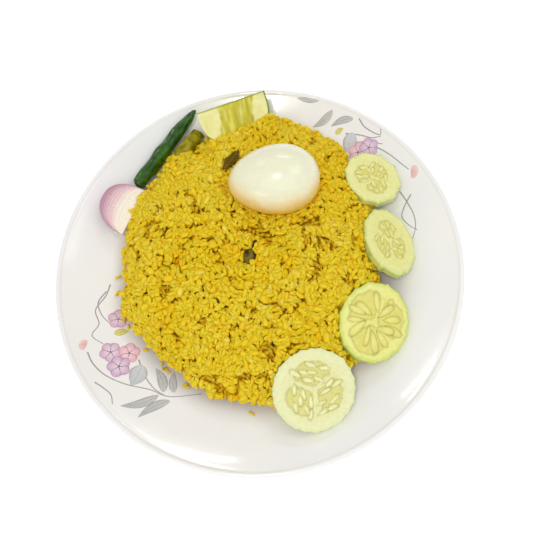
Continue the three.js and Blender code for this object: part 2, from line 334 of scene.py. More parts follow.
def chili_skin(name, dark, light, size, low, high, shine):
    f = Finish(name, gloss=0.2, specular=0.2, coat=shine)
    shade = f.ramp(f.noise(size, detail=4), (0.32, dark), (0.68, light))
    folds = f.relief(f.noise(2.2, detail=2), 0.5)
    return f.complete(shade, f.spread(f.noise(1.5), low, high), f.relief(f.noise(0.5), 0.02, folds))


def dry_spice(name, dark, light, size=1.2, rough=0.55):
    f = Finish(name, gloss=0.4, specular=0.4)
    shade = f.ramp(f.noise(size, detail=5), (0.42, dark), (0.6, light))
    return f.complete(shade, f.spread(f.noise(1), rough, rough + 0.2), f.relief(f.noise(0.4), 0.08))


def leaf_skin():
    f = Finish("leaf_skin", gloss=0.4, specular=0.12)
    shade = f.mottle(f.tint(), f.noise(1.2, detail=5), 0.8, 1.15)
    return f.complete(shade, f.spread(f.noise(1.6), 0.35, 0.55), f.relief(f.noise(0.5), 0.04))


def studio_floor():
    f = Finish("studio_floor", specular=0.2)
    shade = f.ramp(f.noise(60), (0.3, colour(251, 251, 251)), (0.7, colour(253, 253, 253)))
    f.set("Emission Color", (1, 1, 1, 1))
    f.set("Emission Strength", 0.25)
    return f.complete(shade, f.spread(f.noise(20), 0.7, 0.8), f.relief(f.noise(2), 0.02))


# ---- Mesh building ----

def node_box(node):
    """A CAD node's lowest and highest corner, in millimetres."""
    return [np.array(corner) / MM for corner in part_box(node)]


def node_middle(node):
    return sum(node_box(node)) / 2


def add_object(name, data):
    made = bpy.data.objects.new(name, data)
    bpy.context.scene.collection.objects.link(made)
    return made


def volume(points, faces):
    """Signed volume of a closed mesh, above 0 where its faces point out."""
    corners = [(f[0], f[i], f[i + 1]) for f in faces for i in range(1, len(f) - 1)]
    a, b, c = np.asarray(points)[np.array(corners)].transpose(1, 0, 2)
    return np.einsum("ij,ij->i", a, np.cross(b, c)).sum() / 6


def build_piece(name, points, faces, material, replaces=(), tints=None):
    """A smooth-shaded mesh from points in millimetres, riding on the part's one body."""
    if volume(points, faces) < 0:
        faces = [tuple(face[::-1]) for face in faces]
    mesh = bpy.data.meshes.new(name)
    mesh.from_pydata((np.asarray(points) * MM).tolist(), [], faces)
    mesh.shade_smooth()
    if tints is not None:
        layer = mesh.color_attributes.new("tint", "FLOAT_COLOR", "POINT")
        opaque = np.ones((len(points), 1))
        layer.data.foreach_set("color", np.hstack([np.clip(tints, 0, 1), opaque]).ravel())
    mesh.materials.append(material)
    piece = add_object(name, mesh)
    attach(piece, BODY)
    if replaces:
        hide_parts(*replaces)
    return piece


def with_ends(rings):
    """A row of rings as one list of points, with the middles of the first and last ring at its end."""
    rings = np.asarray(rings, float)
    width = rings.shape[-1]
    return np.vstack([rings.reshape(-1, width), rings[0].mean(0), rings[-1].mean(0)])


def loft_faces(count, around):
    """The faces of a closed body through count rings of points, for the points of with_ends()."""
    first = count * around
    faces = []
    for here in range(around):
        ahead = (here + 1) % around
        faces.append((first, ahead, here))
        faces.append((first + 1, first - around + here, first - around + ahead))
        for ring in range(0, first - around, around):
            faces.append((ring + here, ring + ahead, ring + ahead + around, ring + here + around))
    return faces


def turned(points, roll=0, pitch=0, turn=0):
    """Points turned about X, then Y, then Z, by degrees."""
    angles = [math.radians(angle) for angle in (roll, pitch, turn)]
    return points @ np.array(Euler(angles).to_matrix()).T


def set_on(node, points):
    """Points moved so that the middle of their box is the middle of a CAD node's box."""
    flat = points.reshape(-1, 3)
    return points + node_middle(node) - (flat.min(0) + flat.max(0)) / 2


def lofted_piece(name, rings, tints, material, replaces=()):
    """A closed piece through rings of points, with a colour for each point where tints are given."""
    faces = loft_faces(*rings.shape[:2])
    shades = None if tints is None else with_ends(tints)
    return build_piece(name, with_ends(rings), faces, material, replaces, shades)


def spindle(stations, around):
    """A round body along X through stations of (place, radius), as points and faces."""
    angle = round_angles(around)
    circle = np.stack([0 * angle, np.cos(angle), np.sin(angle)], -1)
    rings = np.array([[x, 0, 0] + radius * circle for x, radius in stations])
    return with_ends(rings), loft_faces(*rings.shape[:2])


def joined(parts):
    """Several bodies as one. Each starts with its points and faces."""
    points, faces = [], []
    start = 0
    for more, corners, *_ in parts:
        points.append(more)
        faces.extend(tuple(corner + start for corner in face) for face in corners)
        start += len(more)
    return np.vstack(points), faces


# ---- Plate ----

def plate_top(distance):
    """Height of the plate's upper face at a distance from its centre."""
    wall = PLATE["rim_radius"] - PLATE["thickness"] / 2 - PLATE["floor_radius"]
    along = np.maximum(0, distance - PLATE["floor_radius"]) / wall
    return PLATE["floor_height"] + (PLATE["rim_height"] - PLATE["floor_height"]) * along ** 2


def plate_profile():
    """The plate's outline as (distance, height), from the middle of its underside to that of its face."""
    thickness = PLATE["thickness"]
    under = PLATE["floor_height"] - thickness
    inner, outer = PLATE["foot_inner"], PLATE["foot_outer"]
    outline = [(radius, under) for radius in (8, 30, 50, inner - 2, inner - 0.8)]
    outline += [(inner - 0.2, under - 0.4), (inner, 0.5), (inner + 0.15, 0.15), (inner + 0.6, 0)]
    outline += [(outer - 0.6, 0), (outer - 0.15, 0.15), (outer, 0.5), (outer + 0.2, under - 0.4)]
    outline += [(outer + 0.8, under), (outer + 2, under)]
    outline += [(radius, plate_top(radius) - thickness) for radius in np.linspace(outer + 5, 121.5, 24)]
    lip = thickness / 2
    for angle in np.radians(np.linspace(-50, 150, 15)):
        outline.append((PLATE["rim_radius"] - lip + lip * math.cos(angle),
                        PLATE["rim_height"] - lip + lip * math.sin(angle)))
    outline += [(radius, plate_top(radius)) for radius in np.linspace(122.6, PLATE["floor_radius"], 32)]
    outline += [(radius, PLATE["floor_height"]) for radius in (60, 50, 38, 24, 8)]
    return np.array(outline)


# Painted light and shade: the glaze is greyer on the floor as painted shade, and whiter up the wall as
# painted light.
PLATE_FLOOR_PAINTED_SHADE = colour(205, 204, 210)
PLATE_WALL_PAINTED_LIGHT = colour(253, 252, 250)


def dinner_plate():
    """The plate, whose glaze is painted a little whiter on the wall and greyer on the floor: painted light on
    the wall and painted shade on the floor.
    """
    around = 224
    angles = round_angles(around)
    profile = plate_profile()
    spokes = np.stack([np.cos(angles), np.sin(angles)], -1)
    rings = np.concatenate([
        profile[:, None, :1] * spokes[None],
        np.repeat(profile[:, None, 1:], around, axis=1),
    ], axis=-1)
    # Painted shade on the floor and painted light up the wall, blended by height above the floor.
    upper = ease(0, 4, rings[..., 2] - PLATE["floor_height"])
    shade = blend(PLATE_FLOOR_PAINTED_SHADE, PLATE_WALL_PAINTED_LIGHT, upper)
    lofted_piece("dinner_plate", rings, shade, porcelain(), ["plate"])


# ---- The plate's printed sprigs: a generic design of small flowers, leaves and tendrils ----

STEM_GREY = colour(172, 164, 168)
LEAF_GREY = (colour(212, 212, 210), colour(192, 193, 192), colour(172, 172, 172))
LEAF_BLUE = (colour(220, 224, 226), colour(204, 208, 212), colour(190, 194, 198))
LEAF_LIME = (colour(238, 230, 140), colour(222, 214, 110), colour(200, 194, 100))
# Each kind of petal is palest by the flower's eye and deepest along its sides.
PETALS = {
    "purple": (colour(250, 232, 242), colour(224, 182, 210), colour(192, 138, 178)),
    "pink": (colour(252, 232, 238), colour(242, 186, 204), colour(226, 146, 172)),
    "mauve": (colour(246, 230, 242), colour(218, 178, 212), colour(188, 142, 186)),
    "salmon": (colour(244, 178, 178), colour(250, 224, 218), colour(250, 212, 206)),
}
FLOWER_EYE = colour(130, 70, 116)

# Tendrils as a few points (x, y) each, leaves as (x, y, direction, length, width, bend, colours), and
# flowers as (x, y, radius, turn, petal colours).
TENDRILS = [
    [(-95, -7), (-97, -15), (-102, -25), (-99, -34), (-102, -42), (-95, -47)],
    [(-97, -12), (-101, -20), (-98, -28), (-93, -33)],
    [(-103, -53), (-99, -60), (-91, -67), (-79, -72), (-64, -75), (-52, -79), (-33, -77)],
    [(-73, -56), (-69, -65), (-62, -74), (-54, -79)],
    [(-96, -72), (-91, -75), (-86, -79), (-84, -85)],
    [(66, 103), (70, 97), (79, 91), (80, 95)],
    [(57, 95), (66, 93), (74, 90), (80, 90)],
    [(60, 89), (70, 88), (81, 85)],
    [(71, 86), (78, 83), (86, 77), (94, 69), (97, 66)],
    [(91, 53), (95, 46), (99, 37), (100, 28), (97, 18)],
    [(98, 50), (94, 43), (92, 36), (96, 30), (101, 26)],
]
LEAVES = [
    (-73, -66, 250, 14, 11, 0.5, LEAF_BLUE),
    (-59, -69, 112, 16, 6, -1.5, LEAF_GREY),
    (-50, -70, 95, 13, 5, 1, LEAF_GREY),
    (-69, -82, 200, 22, 5.5, 2, LEAF_GREY),
    (-60, -87, 212, 20, 5.5, -1.5, LEAF_GREY),
    (-85, -39, 15, 9, 4.5, 0.6, LEAF_LIME),
    (42, 106, 215, 16, 5, 1.5, LEAF_GREY),
    (55, 102, 190, 15, 4.5, -1.5, LEAF_GREY),
    (33, 119, 172, 16, 3.4, 0.8, LEAF_GREY),
    (59, 89, 250, 13, 9, 0.5, LEAF_BLUE),
    (53, 97, 30, 6, 3.6, 0.3, LEAF_LIME),
]
FLOWERS = [
    (-88, -30, 6.4, 20, "purple"),
    (-90, -52, 6.6, 60, "purple"),
    (-79, -52, 6.6, 15, "pink"),
    (-84, -61, 7, 40, "mauve"),
    (65, 82, 6.6, 80, "pink"),
    (72, 84, 6.4, 30, "mauve"),
]
BUDS = [(-104, -49, 4.4, 130), (98, 64, 5, -40)]


def smooth_path(points, steps):
    """A smooth line through a few points, as steps + 1 points."""
    points = np.asarray(points, float)
    stretched = np.vstack([2 * points[0] - points[1], points, 2 * points[-1] - points[-2]])
    spans = len(points) - 1
    path = []
    for place in np.linspace(0, spans, steps + 1):
        span = min(int(place), spans - 1)
        path.append(curve_point(*stretched[span:span + 4], place - span))
    return np.array(path)


def print_stroke(path, half_widths, shades, layer):
    """A closed film in the glaze along a path, that wide at each point. shades are its colours at the
    start, at the end and along the sides, and a higher layer lies over a lower one."""
    ahead = unit(np.gradient(path, axis=0))
    side = np.stack([-ahead[:, 1], ahead[:, 0]], -1)
    across = np.linspace(-1, 1, 7)
    face = path[:, None] + side[:, None] * np.asarray(half_widths)[:, None, None] * across[:, None]
    base = plate_top(np.hypot(face[..., 0], face[..., 1]))
    film = 0.04 + 0.003 * layer
    sunk = 0.4
    upper = np.concatenate([face, (base + film)[..., None]], -1)
    lower = np.concatenate([face, (base - sunk)[..., None]], -1)[:, ::-1]
    rings = np.concatenate([upper, lower], 1)
    start, end, rim = shades
    along = np.linspace(0, 1, len(path))[:, None] * np.ones(14)
    edge = np.abs(np.concatenate([across, across[::-1]]))[None] ** 3 * np.ones((len(path), 1))
    tints = blend(blend(start, end, along), rim, edge * 0.8)
    return with_ends(rings), loft_faces(*rings.shape[:2]), with_ends(tints)


def printed_tendril(points, layer):
    path = smooth_path(points, 36)
    width = 0.42 - 0.18 * np.linspace(0, 1, len(path))
    return [print_stroke(path, width, [STEM_GREY] * 3, layer)]


def printed_leaf(x, y, direction, length, width, bend, shades, layer):
    """A pointed leaf with a darker midrib. It starts at x, y and bends to one side."""
    t = np.linspace(0, 1, 25)
    ahead = heading(direction)
    side = np.array([-ahead[1], ahead[0]])
    offset = (t - 0.5)[:, None] * length * ahead + (bend * np.sin(np.pi * t))[:, None] * side
    path = np.array([x, y]) + offset
    blade = print_stroke(path, width / 2 * np.sin(np.pi * (0.02 + 0.96 * t ** 0.8)) ** 0.9, shades, layer)
    rib = print_stroke(path[1:-3], np.full(len(path) - 4, 0.16), [shades[2]] * 3, layer + 1)
    return [blade, rib]


def printed_petals(x, y, radius, turn, shades, count, spread, layer):
    """Round petals about a point, spread over that many degrees."""
    strokes = []
    t = np.linspace(0, 1, 15)
    for number in range(count):
        ahead = heading(turn + spread * number / count)
        path = np.array([x, y]) + (0.1 + 0.9 * t)[:, None] * radius * ahead
        width = 0.46 * radius * np.sin(np.pi * (0.04 + 0.92 * t ** 1.3)) ** 0.75
        strokes.append(print_stroke(path, width, shades, layer + number))
    return strokes


def printed_flower(x, y, radius, turn, kind, layer):
    """Five petals round a small dark eye with five stamens."""
    strokes = printed_petals(x, y, radius, turn, PETALS[kind], 5, 360, layer)
    for number in range(5):
        stamen = np.linspace(0.02, 0.3, 5)[:, None] * radius * heading(turn + 36 + 72 * number)
        widths = [0.3, 0.16, 0.12, 0.22, 0.3]
        strokes.append(print_stroke(np.array([x, y]) + stamen, widths, [FLOWER_EYE] * 3, layer + 6 + number))
    return strokes


def plate_print():
    """All the printed strokes, each kind in a piece of its own."""
    material = printed_glaze()
    stems = [s for points in TENDRILS for s in printed_tendril(points, 0)]
    leaves = [s for number, leaf in enumerate(LEAVES) for s in printed_leaf(*leaf, 2 + 2 * number)]
    flowers = []
    for number, flower in enumerate(FLOWERS):
        flowers += printed_flower(*flower, 24 + 12 * number)
    for x, y, radius, turn in BUDS:
        flowers += printed_petals(x, y, radius, turn, PETALS["salmon"], 3, 110, 24)
    for name, strokes in (("print_stems", stems), ("print_leaves", leaves), ("print_flowers", flowers)):
        points, faces = joined(strokes)
        tints = np.vstack([shades for _, _, shades in strokes])
        build_piece(name, points, faces, material, tints=tints)


# ---- Egg ----

EGG_CREAM = colour(248, 247, 218)
# Painted reflected light: the yellow of the light that the rice throws up onto the egg's lower part.
EGG_PAINTED_BOUNCE = colour(236, 188, 44)


def peeled_egg():
    """A ball drawn out along X, fatter towards its blunt end, with the slight dents of a real egg. Its
    lower part is painted yellow: a painted reflection of the light that the rice throws up onto it."""
    around, along = 112, 84
    polar = np.linspace(0.012, np.pi - 0.012, along)[:, None]
    angle = round_angles(around)[None]
    x = -0.5 * np.cos(polar) + 0 * angle
    taper = EGG["taper"]
    girth = EGG["width"] * (1 + taper * 2 * x - taper ** 2) * 0.5 * np.sin(polar)
    rings = np.stack([x * EGG["length"], girth * np.cos(angle), girth * np.sin(angle)], -1)
    rings += unit(rings) * (0.14 * wobble(rings, 13, seed=3) + 0.03 * wobble(rings, 4, seed=4))[..., None]
    rings = set_on("egg", turned(rings, pitch=-EGG["dip"], turn=EGG["turn"]))
    level = (rings[..., 2] - rings[..., 2].mean()) / (EGG["width"] / 2)
    # Painted bounce light from the rice, strongest low down on the egg.
    rice_bounce = ease(0.72, -0.3, level + 0.12 * wobble(rings, 9, seed=5))
    lofted_piece("peeled_egg", rings, blend(EGG_CREAM, EGG_PAINTED_BOUNCE, rice_bounce), boiled_egg(), ["egg"])


# ---- Cucumber slices ----

# Each pair is the colour in the yellowest slice and in the palest.
FLESH_MIDDLE = (colour(243, 238, 136), colour(240, 239, 175))
FLESH_OUTER = (colour(243, 241, 146), colour(243, 244, 194))
FLESH_RIM = (colour(206, 221, 98), colour(230, 236, 178))
CHAMBER = (colour(230, 222, 108), colour(227, 222, 126))
SEED_COAT = (colour(244, 238, 142), colour(252, 250, 200))
SEED_LINE = colour(168, 164, 68)
PEEL_TRACE = colour(140, 170, 70)


def seeds_of(look, seed):
    """Every seed of a slice as (middle, direction, half length, half width), in shares of the slice. Each
    is put at the one of a few random places that is farthest from its chamber's other seeds."""
    rng = np.random.default_rng(seed)
    seeds = []
    for chamber in range(3):
        middle = math.radians(look["turn"] + 120 * chamber)
        chosen = []
        for _ in range(look["seeds"]):
            angle = middle + np.radians(look["fan"]) * rng.uniform(-0.5, 0.5, 14)
            distance = look["reach"] * rng.uniform(look["from"], look["to"], 14)
            places = np.stack([distance * np.cos(angle), distance * np.sin(angle)], -1)
            room = [min((np.linalg.norm(place - other) for other in chosen), default=0) for place in places]
            best = int(np.argmax(room))
            chosen.append(places[best])
            length = look["seed"] * rng.uniform(0.85, 1.12)
            outwards = angle[best] if look["twist"] == 0 else middle
            heading = outwards + math.radians(look["twist"] + rng.uniform(-22, 22))
            seeds.append((places[best], heading, length, length * rng.uniform(0.28, 0.42)))
    return seeds


def slice_face(u, v, look, number):
    """Height (mm) and colour of a cut face at places in shares of the slice's half width and length."""
    distance, angle = np.hypot(u, v), np.arctan2(v, u)
    spots = np.stack([u * 20, v * 20, np.full_like(u, 7.0 * number)], -1)
    from_chamber = np.abs((np.degrees(angle) - look["turn"] + 60) % 120 - 60) / 60
    reach = look["reach"] * (1 - 0.25 * from_chamber ** 2) + 0.03 * wobble(spots, 3.5, seed=20)
    inside = ease(reach + 0.05, reach - 0.05, distance)
    wall = ease(0.98, 0.72, from_chamber + 0.16 * wobble(spots, 2.5, seed=21) + 0.06 / (distance + 0.1))
    chamber = inside * wall * ease(0.06, 0.16, distance)
    skin = 4 * chamber * (1 - chamber)
    fibres = wobble(np.stack([np.degrees(angle) * 0.35, distance * 6, 0 * u], -1), 1.6, seed=22)
    pairs = (FLESH_MIDDLE, FLESH_OUTER, FLESH_RIM, CHAMBER, SEED_COAT)
    middle, outer, rim, pulp, coat = (blend(*pair, look["pale"]) for pair in pairs)
    flesh = blend(middle, outer, ease(0.55, 0.95, distance) + 0.18 * fibres)
    shade = blend(flesh, pulp, chamber * (0.78 + 0.22 * wobble(spots, 1.8, seed=23)))
    shade = blend(shade, SEED_LINE, 0.34 * skin)
    height = -0.25 * chamber - 0.1 * skin + 0.05 * wobble(spots, 1.4, seed=24) + 0.03 * fibres
    for (x, y), heading, length, width in seeds_of(look, 60 + number):
        along = ((u - x) * math.cos(heading) + (v - y) * math.sin(heading)) / length
        aside = ((v - y) * math.cos(heading) - (u - x) * math.sin(heading)) / width
        away = np.hypot(along, aside / (1 + 0.32 * along))
        body = ease(1.02, 0.8, away)
        line = np.exp(-((away - 1.06) / 0.11) ** 2)
        shade = blend(shade, SEED_LINE, 0.6 * line)
        shade = blend(shade, blend(pulp, coat, 0.3 + 0.6 * ease(0.95, 0.3, away)), body)
        height = height - 0.12 * line + body * (0.3 + 0.3 * np.maximum(1 - away, 0))
    shade = blend(shade, rim, 0.8 * ease(0.86, 1.0, distance + 0.03 * wobble(spots, 2.5, seed=25)))
    return height * ease(1.0, 0.94, distance), shade


def slice_reach(angle, number):
    """The outline's reach round the slice: flat knife strokes with small nicks, as a share of its oval."""
    stroke = 2 * np.pi / SLICES[number]["strokes"]
    ring = np.stack([9 * np.cos(angle), 9 * np.sin(angle), np.full_like(angle, 5.0 * number)], -1)
    uneven = angle + 0.3 * stroke * wobble(ring, 3, seed=30)
    off_centre = uneven % stroke - stroke / 2
    flat = np.cos(stroke / 2) / np.cos(off_centre)
    corner = 0.018 * ease(0.3, 0.5, np.abs(off_centre) / stroke)
    nicks = 0.012 * wobble(ring, 1.1, seed=31) + 0.008 * wobble(ring, 0.5, seed=32)
    return 1 - 0.75 * (1 - flat) + corner + nicks - 0.016


def peel_left(angle, number):
    """Where the knife left a trace of peel: narrow strips at some corners between strokes."""
    strokes = SLICES[number]["strokes"]
    stroke = 2 * np.pi / strokes
    corner = np.round(angle / stroke).astype(int)
    away = np.abs(angle / stroke - corner)
    kept = np.random.default_rng(40 + number).uniform(0, 1, strokes)[corner % strokes]
    return ease(0.2, 0.05, away) * ease(0.5, 0.9, kept)


def cucumber_slice(number, look, material):
    """A peeled slice: both cut faces with their seeds, a rounded edge and a side with traces of peel."""
    angle = round_angles(192)
    reach = slice_reach(angle, number)
    half = SLICE_THICKNESS / 2
    bevel = 0.7
    inner = 1 - bevel / look["across"]
    shares = np.concatenate([np.linspace(0.02, inner - 0.02, 46), [inner]])
    turns = np.radians([18, 42, 66, 90])
    edge = [(inner + (1 - inner) * math.sin(t), half - bevel * (1 - math.cos(t))) for t in turns]
    side = [(1 - 0.006, level) for level in (1.2, 0.5, -0.3, -1.1)]
    under = [(share, -level) for share, level in reversed(edge)]
    rows = [(share, half) for share in shares] + edge + side + under
    rows += [(share, -half) for share in (inner, 0.8, 0.6, 0.4, 0.2, 0.05)]
    rings, tints = [], []
    for share, level in rows:
        u, v = share * reach * np.cos(angle), share * reach * np.sin(angle)
        height, shade = slice_face(share * np.cos(angle), share * np.sin(angle), look, number)
        relief = height if level == half else 0 * height
        peel = peel_left(angle, number) * ease(inner - 0.03, 1, share)
        swell = 1 + 0.012 * peel
        rings.append(np.stack([u * swell * look["across"], v * swell * look["along"], level + relief], -1))
        tints.append(blend(shade, PEEL_TRACE, (0.75 - 0.35 * look["pale"]) * peel))
    placed = set_on(f"cucumber_{number}", turned(np.array(rings), pitch=look["lean"], turn=look["facing"]))
    name = f"cucumber_slice_{number}"
    lofted_piece(name, placed, np.array(tints), material, [f"cucumber_{number}"])


# ---- Lime and onion wedges ----

def wedge_rings(size, places, face_steps, skin_steps, relief):
    """Rings of a wedge along its core: down one cut face, round the skin and up the other face.
    relief(place, depth, on_skin) lifts the surface by millimetres. It also gives each point's share of
    the length (-1 to 1), its depth from core (0) to skin (1), and whether it is on the skin."""
    half = math.radians(size["angle"]) / 2
    ridge = size["ridge_width"] / 2
    down = np.linspace(0, 1, face_steps)
    swing = np.linspace(-half, half, skin_steps + 2)[1:-1]
    depth = np.concatenate([down, np.ones(skin_steps), down[::-1]])
    swing = np.concatenate([np.full(face_steps, -half), swing, np.full(face_steps, half)])
    on_skin = np.concatenate([np.zeros(face_steps), np.ones(skin_steps), np.zeros(face_steps)])
    sign = np.where(on_skin > 0, swing / half, np.sign(swing))
    place, depth = np.meshgrid(places, depth, indexing="ij")
    swing, on_skin, sign = (np.broadcast_to(row, place.shape) for row in (swing, on_skin, sign))
    fullness = size["fullness"]
    reach = size["radius"] * np.maximum(1 - np.abs(place) ** fullness, 0.004) ** (1 / fullness)
    rise = relief(place, depth, on_skin) * np.minimum(1, reach / 6)
    face_out = np.stack([0 * swing, sign * np.cos(swing), np.abs(np.sin(swing))], -1)
    skin_out = np.stack([0 * swing, np.sin(swing), -np.cos(swing)], -1)
    rings = np.stack([
        place * size["length"] / 2,
        depth * reach * np.sin(swing) + sign * ridge,
        -depth * reach * np.cos(swing),
    ], -1)
    rings += rise[..., None] * np.where(on_skin[..., None] > 0, skin_out, face_out)
    return rings, place, depth, on_skin


def along_wedge(count):
    """Places from -1 to 1 along a wedge, closer together at its ends."""
    return np.sin(np.linspace(-np.pi / 2, np.pi / 2, count)) * 0.9995


PULP = colour(203, 195, 44)
PULP_LIGHT = colour(226, 220, 90)
PULP_DARK = colour(180, 176, 30)
PITH = colour(248, 243, 176)
MEMBRANE = colour(230, 228, 146)
LIME_PEEL = colour(100, 136, 34)
# Painted shade: a darker olive line along the ridge, for the far cut face in shade.
LIME_RIDGE_PAINTED_SHADE = colour(150, 152, 72)


def lime_spread(place, depth):
    """How near a point of a cut face is to the face's outline: 0 in its middle and 1 on it."""
    fullness = LIME["fullness"]
    end = np.abs(place) ** fullness
    return (end + depth ** fullness * (1 - end)) ** (1 / fullness)


def lime_pulp(place, depth):
    """1 where a cut face shows pulp, and 0 where it shows pith: the ends and under the skin are pith."""
    bend = 0.02 * np.sin(9 * depth + 1) + 0.012 * np.sin(23 * depth)
    left = ease(-0.38, -0.33, place + 0.22 * depth + bend)
    right = ease(0.65, 0.6, place + 0.24 * depth - bend)
    return left * right * ease(0.92, 0.87, depth)


def lime_cells(place, depth):
    """The pulp's long juice cells, which run from the core to the skin."""
    lean = place * 23 + 2.5 * depth
    return wobble(np.stack([lean, depth * 5, 0 * place], -1), 1.7, seed=50)


def lime_relief(place, depth, on_skin):
    cut = lime_pulp(place, depth) * (0.22 * lime_cells(place, depth) - 0.12)
    pores = 0.05 * wobble(np.stack([place * 23, depth * 22, on_skin], -1), 1.2, seed=51)
    return np.where(on_skin > 0, pores, cut * ease(0.0, 0.1, depth))


def lime_wedge():
    rings, place, depth, on_skin = wedge_rings(LIME, along_wedge(130), 26, 20, lime_relief)
    cells = lime_cells(place, depth)
    pulp = blend(PULP, PULP_LIGHT, ease(0.15, 0.8, cells))
    pulp = blend(pulp, PULP_DARK, ease(-0.2, -0.8, cells))
    segment_wall = np.exp(-((place + 0.24 * depth - 0.27) / 0.018) ** 2)
    pulp = blend(pulp, MEMBRANE, 0.7 * segment_wall)
    pith = blend(PITH, MEMBRANE, 0.5 + 0.5 * wobble(rings, 4, seed=52))
    shade = blend(pith, pulp, lime_pulp(place, depth))
    # Painted shade along the ridge.
    shade = blend(shade, LIME_RIDGE_PAINTED_SHADE, 0.8 * ease(0.035, 0.0, depth))
    peel = blend(LIME_PEEL, PITH, 0.15 * wobble(rings, 6, seed=53))
    zest = ease(0.945, 0.975, lime_spread(place, depth)) * ease(-0.3, 0.3, place)
    shade = blend(shade, peel, np.maximum(on_skin, np.maximum(zest, ease(0.98, 1, depth))))
    placed = set_on("lime_wedge", turned(rings, roll=LIME["roll"], turn=LIME["turn"]))
    lofted_piece("lime", placed, shade, lime_flesh(), ["lime_wedge"])


ONION_CREAM = colour(255, 246, 232)
ONION_PINK = colour(240, 206, 214)
ONION_PURPLE = colour(198, 154, 176)
ONION_SKIN = colour(160, 96, 132)
ONION_LAYERS = (0.34, 0.47, 0.58, 0.67, 0.75, 0.82, 0.89, 0.95)


def onion_line(depth):
    """1 on the thin line between two layers."""
    return sum(np.exp(-((depth - layer) / 0.009) ** 2) for layer in ONION_LAYERS)


def onion_relief(place, depth, on_skin):
    veins = 0.06 * np.sin(depth * 9 + 24 * np.abs(place))
    layers = -0.16 * onion_line(depth)
    return np.where(on_skin > 0, veins, layers * (1 - np.abs(place) ** 6))


def onion_wedge():
    rings, place, depth, on_skin = wedge_rings(ONION, along_wedge(90), 64, 16, onion_relief)
    drift = depth + 0.03 * wobble(rings, 5, seed=54)
    shade = blend(ONION_CREAM, ONION_PINK, ease(0.38, 0.66, drift))
    shade = blend(shade, ONION_PURPLE, ease(0.66, 0.98, drift))
    line_shade = blend(ONION_PINK, ONION_SKIN, ease(0.35, 0.95, depth))
    shade = blend(shade, line_shade, 0.6 * np.clip(onion_line(depth), 0, 1))
    streaks = 0.5 + 0.5 * wobble(np.stack([place * 3, rings[..., 1] * 1.6, on_skin], -1), 1, seed=55)
    skin = blend(ONION_SKIN, ONION_PURPLE, streaks)
    shade = blend(shade, skin, np.maximum(on_skin, ease(0.985, 1, depth)))
    placed = set_on("onion_wedge", turned(rings, roll=ONION["roll"], turn=ONION["turn"]))
    lofted_piece("onion", placed, shade, onion_flesh(), ["onion_wedge"])


# ---- Chilies ----

def chili_radius(size, part):
    """Thickness along a chili: blunt at the butt, full for two thirds, drawn out to the tip."""
    swelling = np.maximum(np.sin(np.pi * np.minimum(part / 0.95, 1) ** 0.9), 0) ** 0.5
    ends = size["butt_radius"] + (size["tip_radius"] - size["butt_radius"]) * part
    return ends + (size["radius"] - ends) * swelling


def chili_rings(size, bumps, pinch, seed):
    """Rings along a chili, with bumps on its skin and slight waists along it, both as shares of its girth."""
    butt, tip = np.array(size["butt"], float), np.array(size["tip"], float)
    forward = unit(tip - butt)
    side = unit(np.cross([0, 0, 1], forward))
    up = np.cross(forward, side)
    part = (0.5 - 0.5 * np.cos(np.linspace(0, np.pi, 150)))[:, None]
    angle = round_angles(56)[None]
    arch = np.sin(np.pi * part)
    line = butt + part * (tip - butt) + arch * (size["sag"] * up + size["bow"] * side)
    rounding = np.minimum(1, np.sqrt(np.maximum(np.minimum(part, 1 - part), 0.0002) / 0.035))
    crease = 1 - size["wrinkle"] * np.sin(3 * angle + 9 * part) * np.sin(11 * part + 2)
    waists = 1 - pinch * (0.5 + 0.5 * np.sin(23 * part + 1.5 * np.cos(angle)))
    ring = np.stack([30 * part + 0 * angle, 4 * np.cos(angle) + 0 * part, 4 * np.sin(angle) + 0 * part], -1)
    skin = 1 + bumps * (wobble(ring, 3.2, seed) + 0.4 * wobble(ring, 1.3, seed + 1))
    reach = (chili_radius(size, part) * rounding * crease * waists * skin)[..., None]
    spokes = side * np.cos(angle)[..., None] + up * np.sin(angle)[..., None]
    return line[:, None] + reach * spokes


def chilies():
    raw = chili_skin("raw_chili", colour(18, 58, 0), colour(52, 108, 6), 5, 0.14, 0.26, 0.7)
    cooked = chili_skin("cooked_chili_skin", colour(118, 108, 0), colour(178, 166, 14), 4, 0.3, 0.45, 0.15)
    rings = set_on("green_chili", chili_rings(RAW_CHILI, 0.07, 0.05, 70))
    lofted_piece("raw_green_chili", rings, None, raw, ["green_chili"])
    rings = set_on("cooked_chili", chili_rings(COOKED_CHILI, 0.1, 0.06, 72))
    lofted_piece("cooked_green_chili", rings, None, cooked, ["cooked_chili"])


# ---- Whole spices ----

def bay_leaf():
    """A cupped piece of leaf with a raised midrib and slanting side veins."""
    length, width = BAY_LEAF["length"], BAY_LEAF["width"]
    part = np.linspace(0, 1, 56)[:, None]
    across = np.linspace(-1, 1, 25)[None]
    half = width / 2 * np.sin(np.pi * (0.03 + 0.94 * part))
    x = (part - 0.5) * length + 0 * across
    y = half * across
    vein = np.sin((x - 0.9 * np.abs(y)) * 2.6) ** 8 * ease(0, 0.25, np.abs(across))
    midrib = np.exp(-(y / 0.35) ** 2)
    cup = 0.02 * y ** 2 + 0.006 * x ** 2
    film = 0.22 * (1 - across ** 8)
    upper = np.stack([x, y, cup + film + 0.12 * vein + 0.3 * midrib], -1)
    lower = np.stack([x, y, cup - film - 0.3 * midrib], -1)[:, ::-1]
    rings = np.concatenate([upper, lower], 1)
    shade = blend(colour(118, 90, 2), colour(78, 58, 0), 0.5 + 0.5 * wobble(upper, 3, seed=80))
    shade = blend(shade, colour(140, 118, 30), np.maximum(midrib * 0.8, vein * 0.35))
    tints = np.concatenate([shade, shade[:, ::-1]], 1)
    placed = set_on("bay_leaf", turned(rings, -24, 10, 62))
    lofted_piece("bay_leaf_piece", placed, tints, leaf_skin(), ["bay_leaf"])


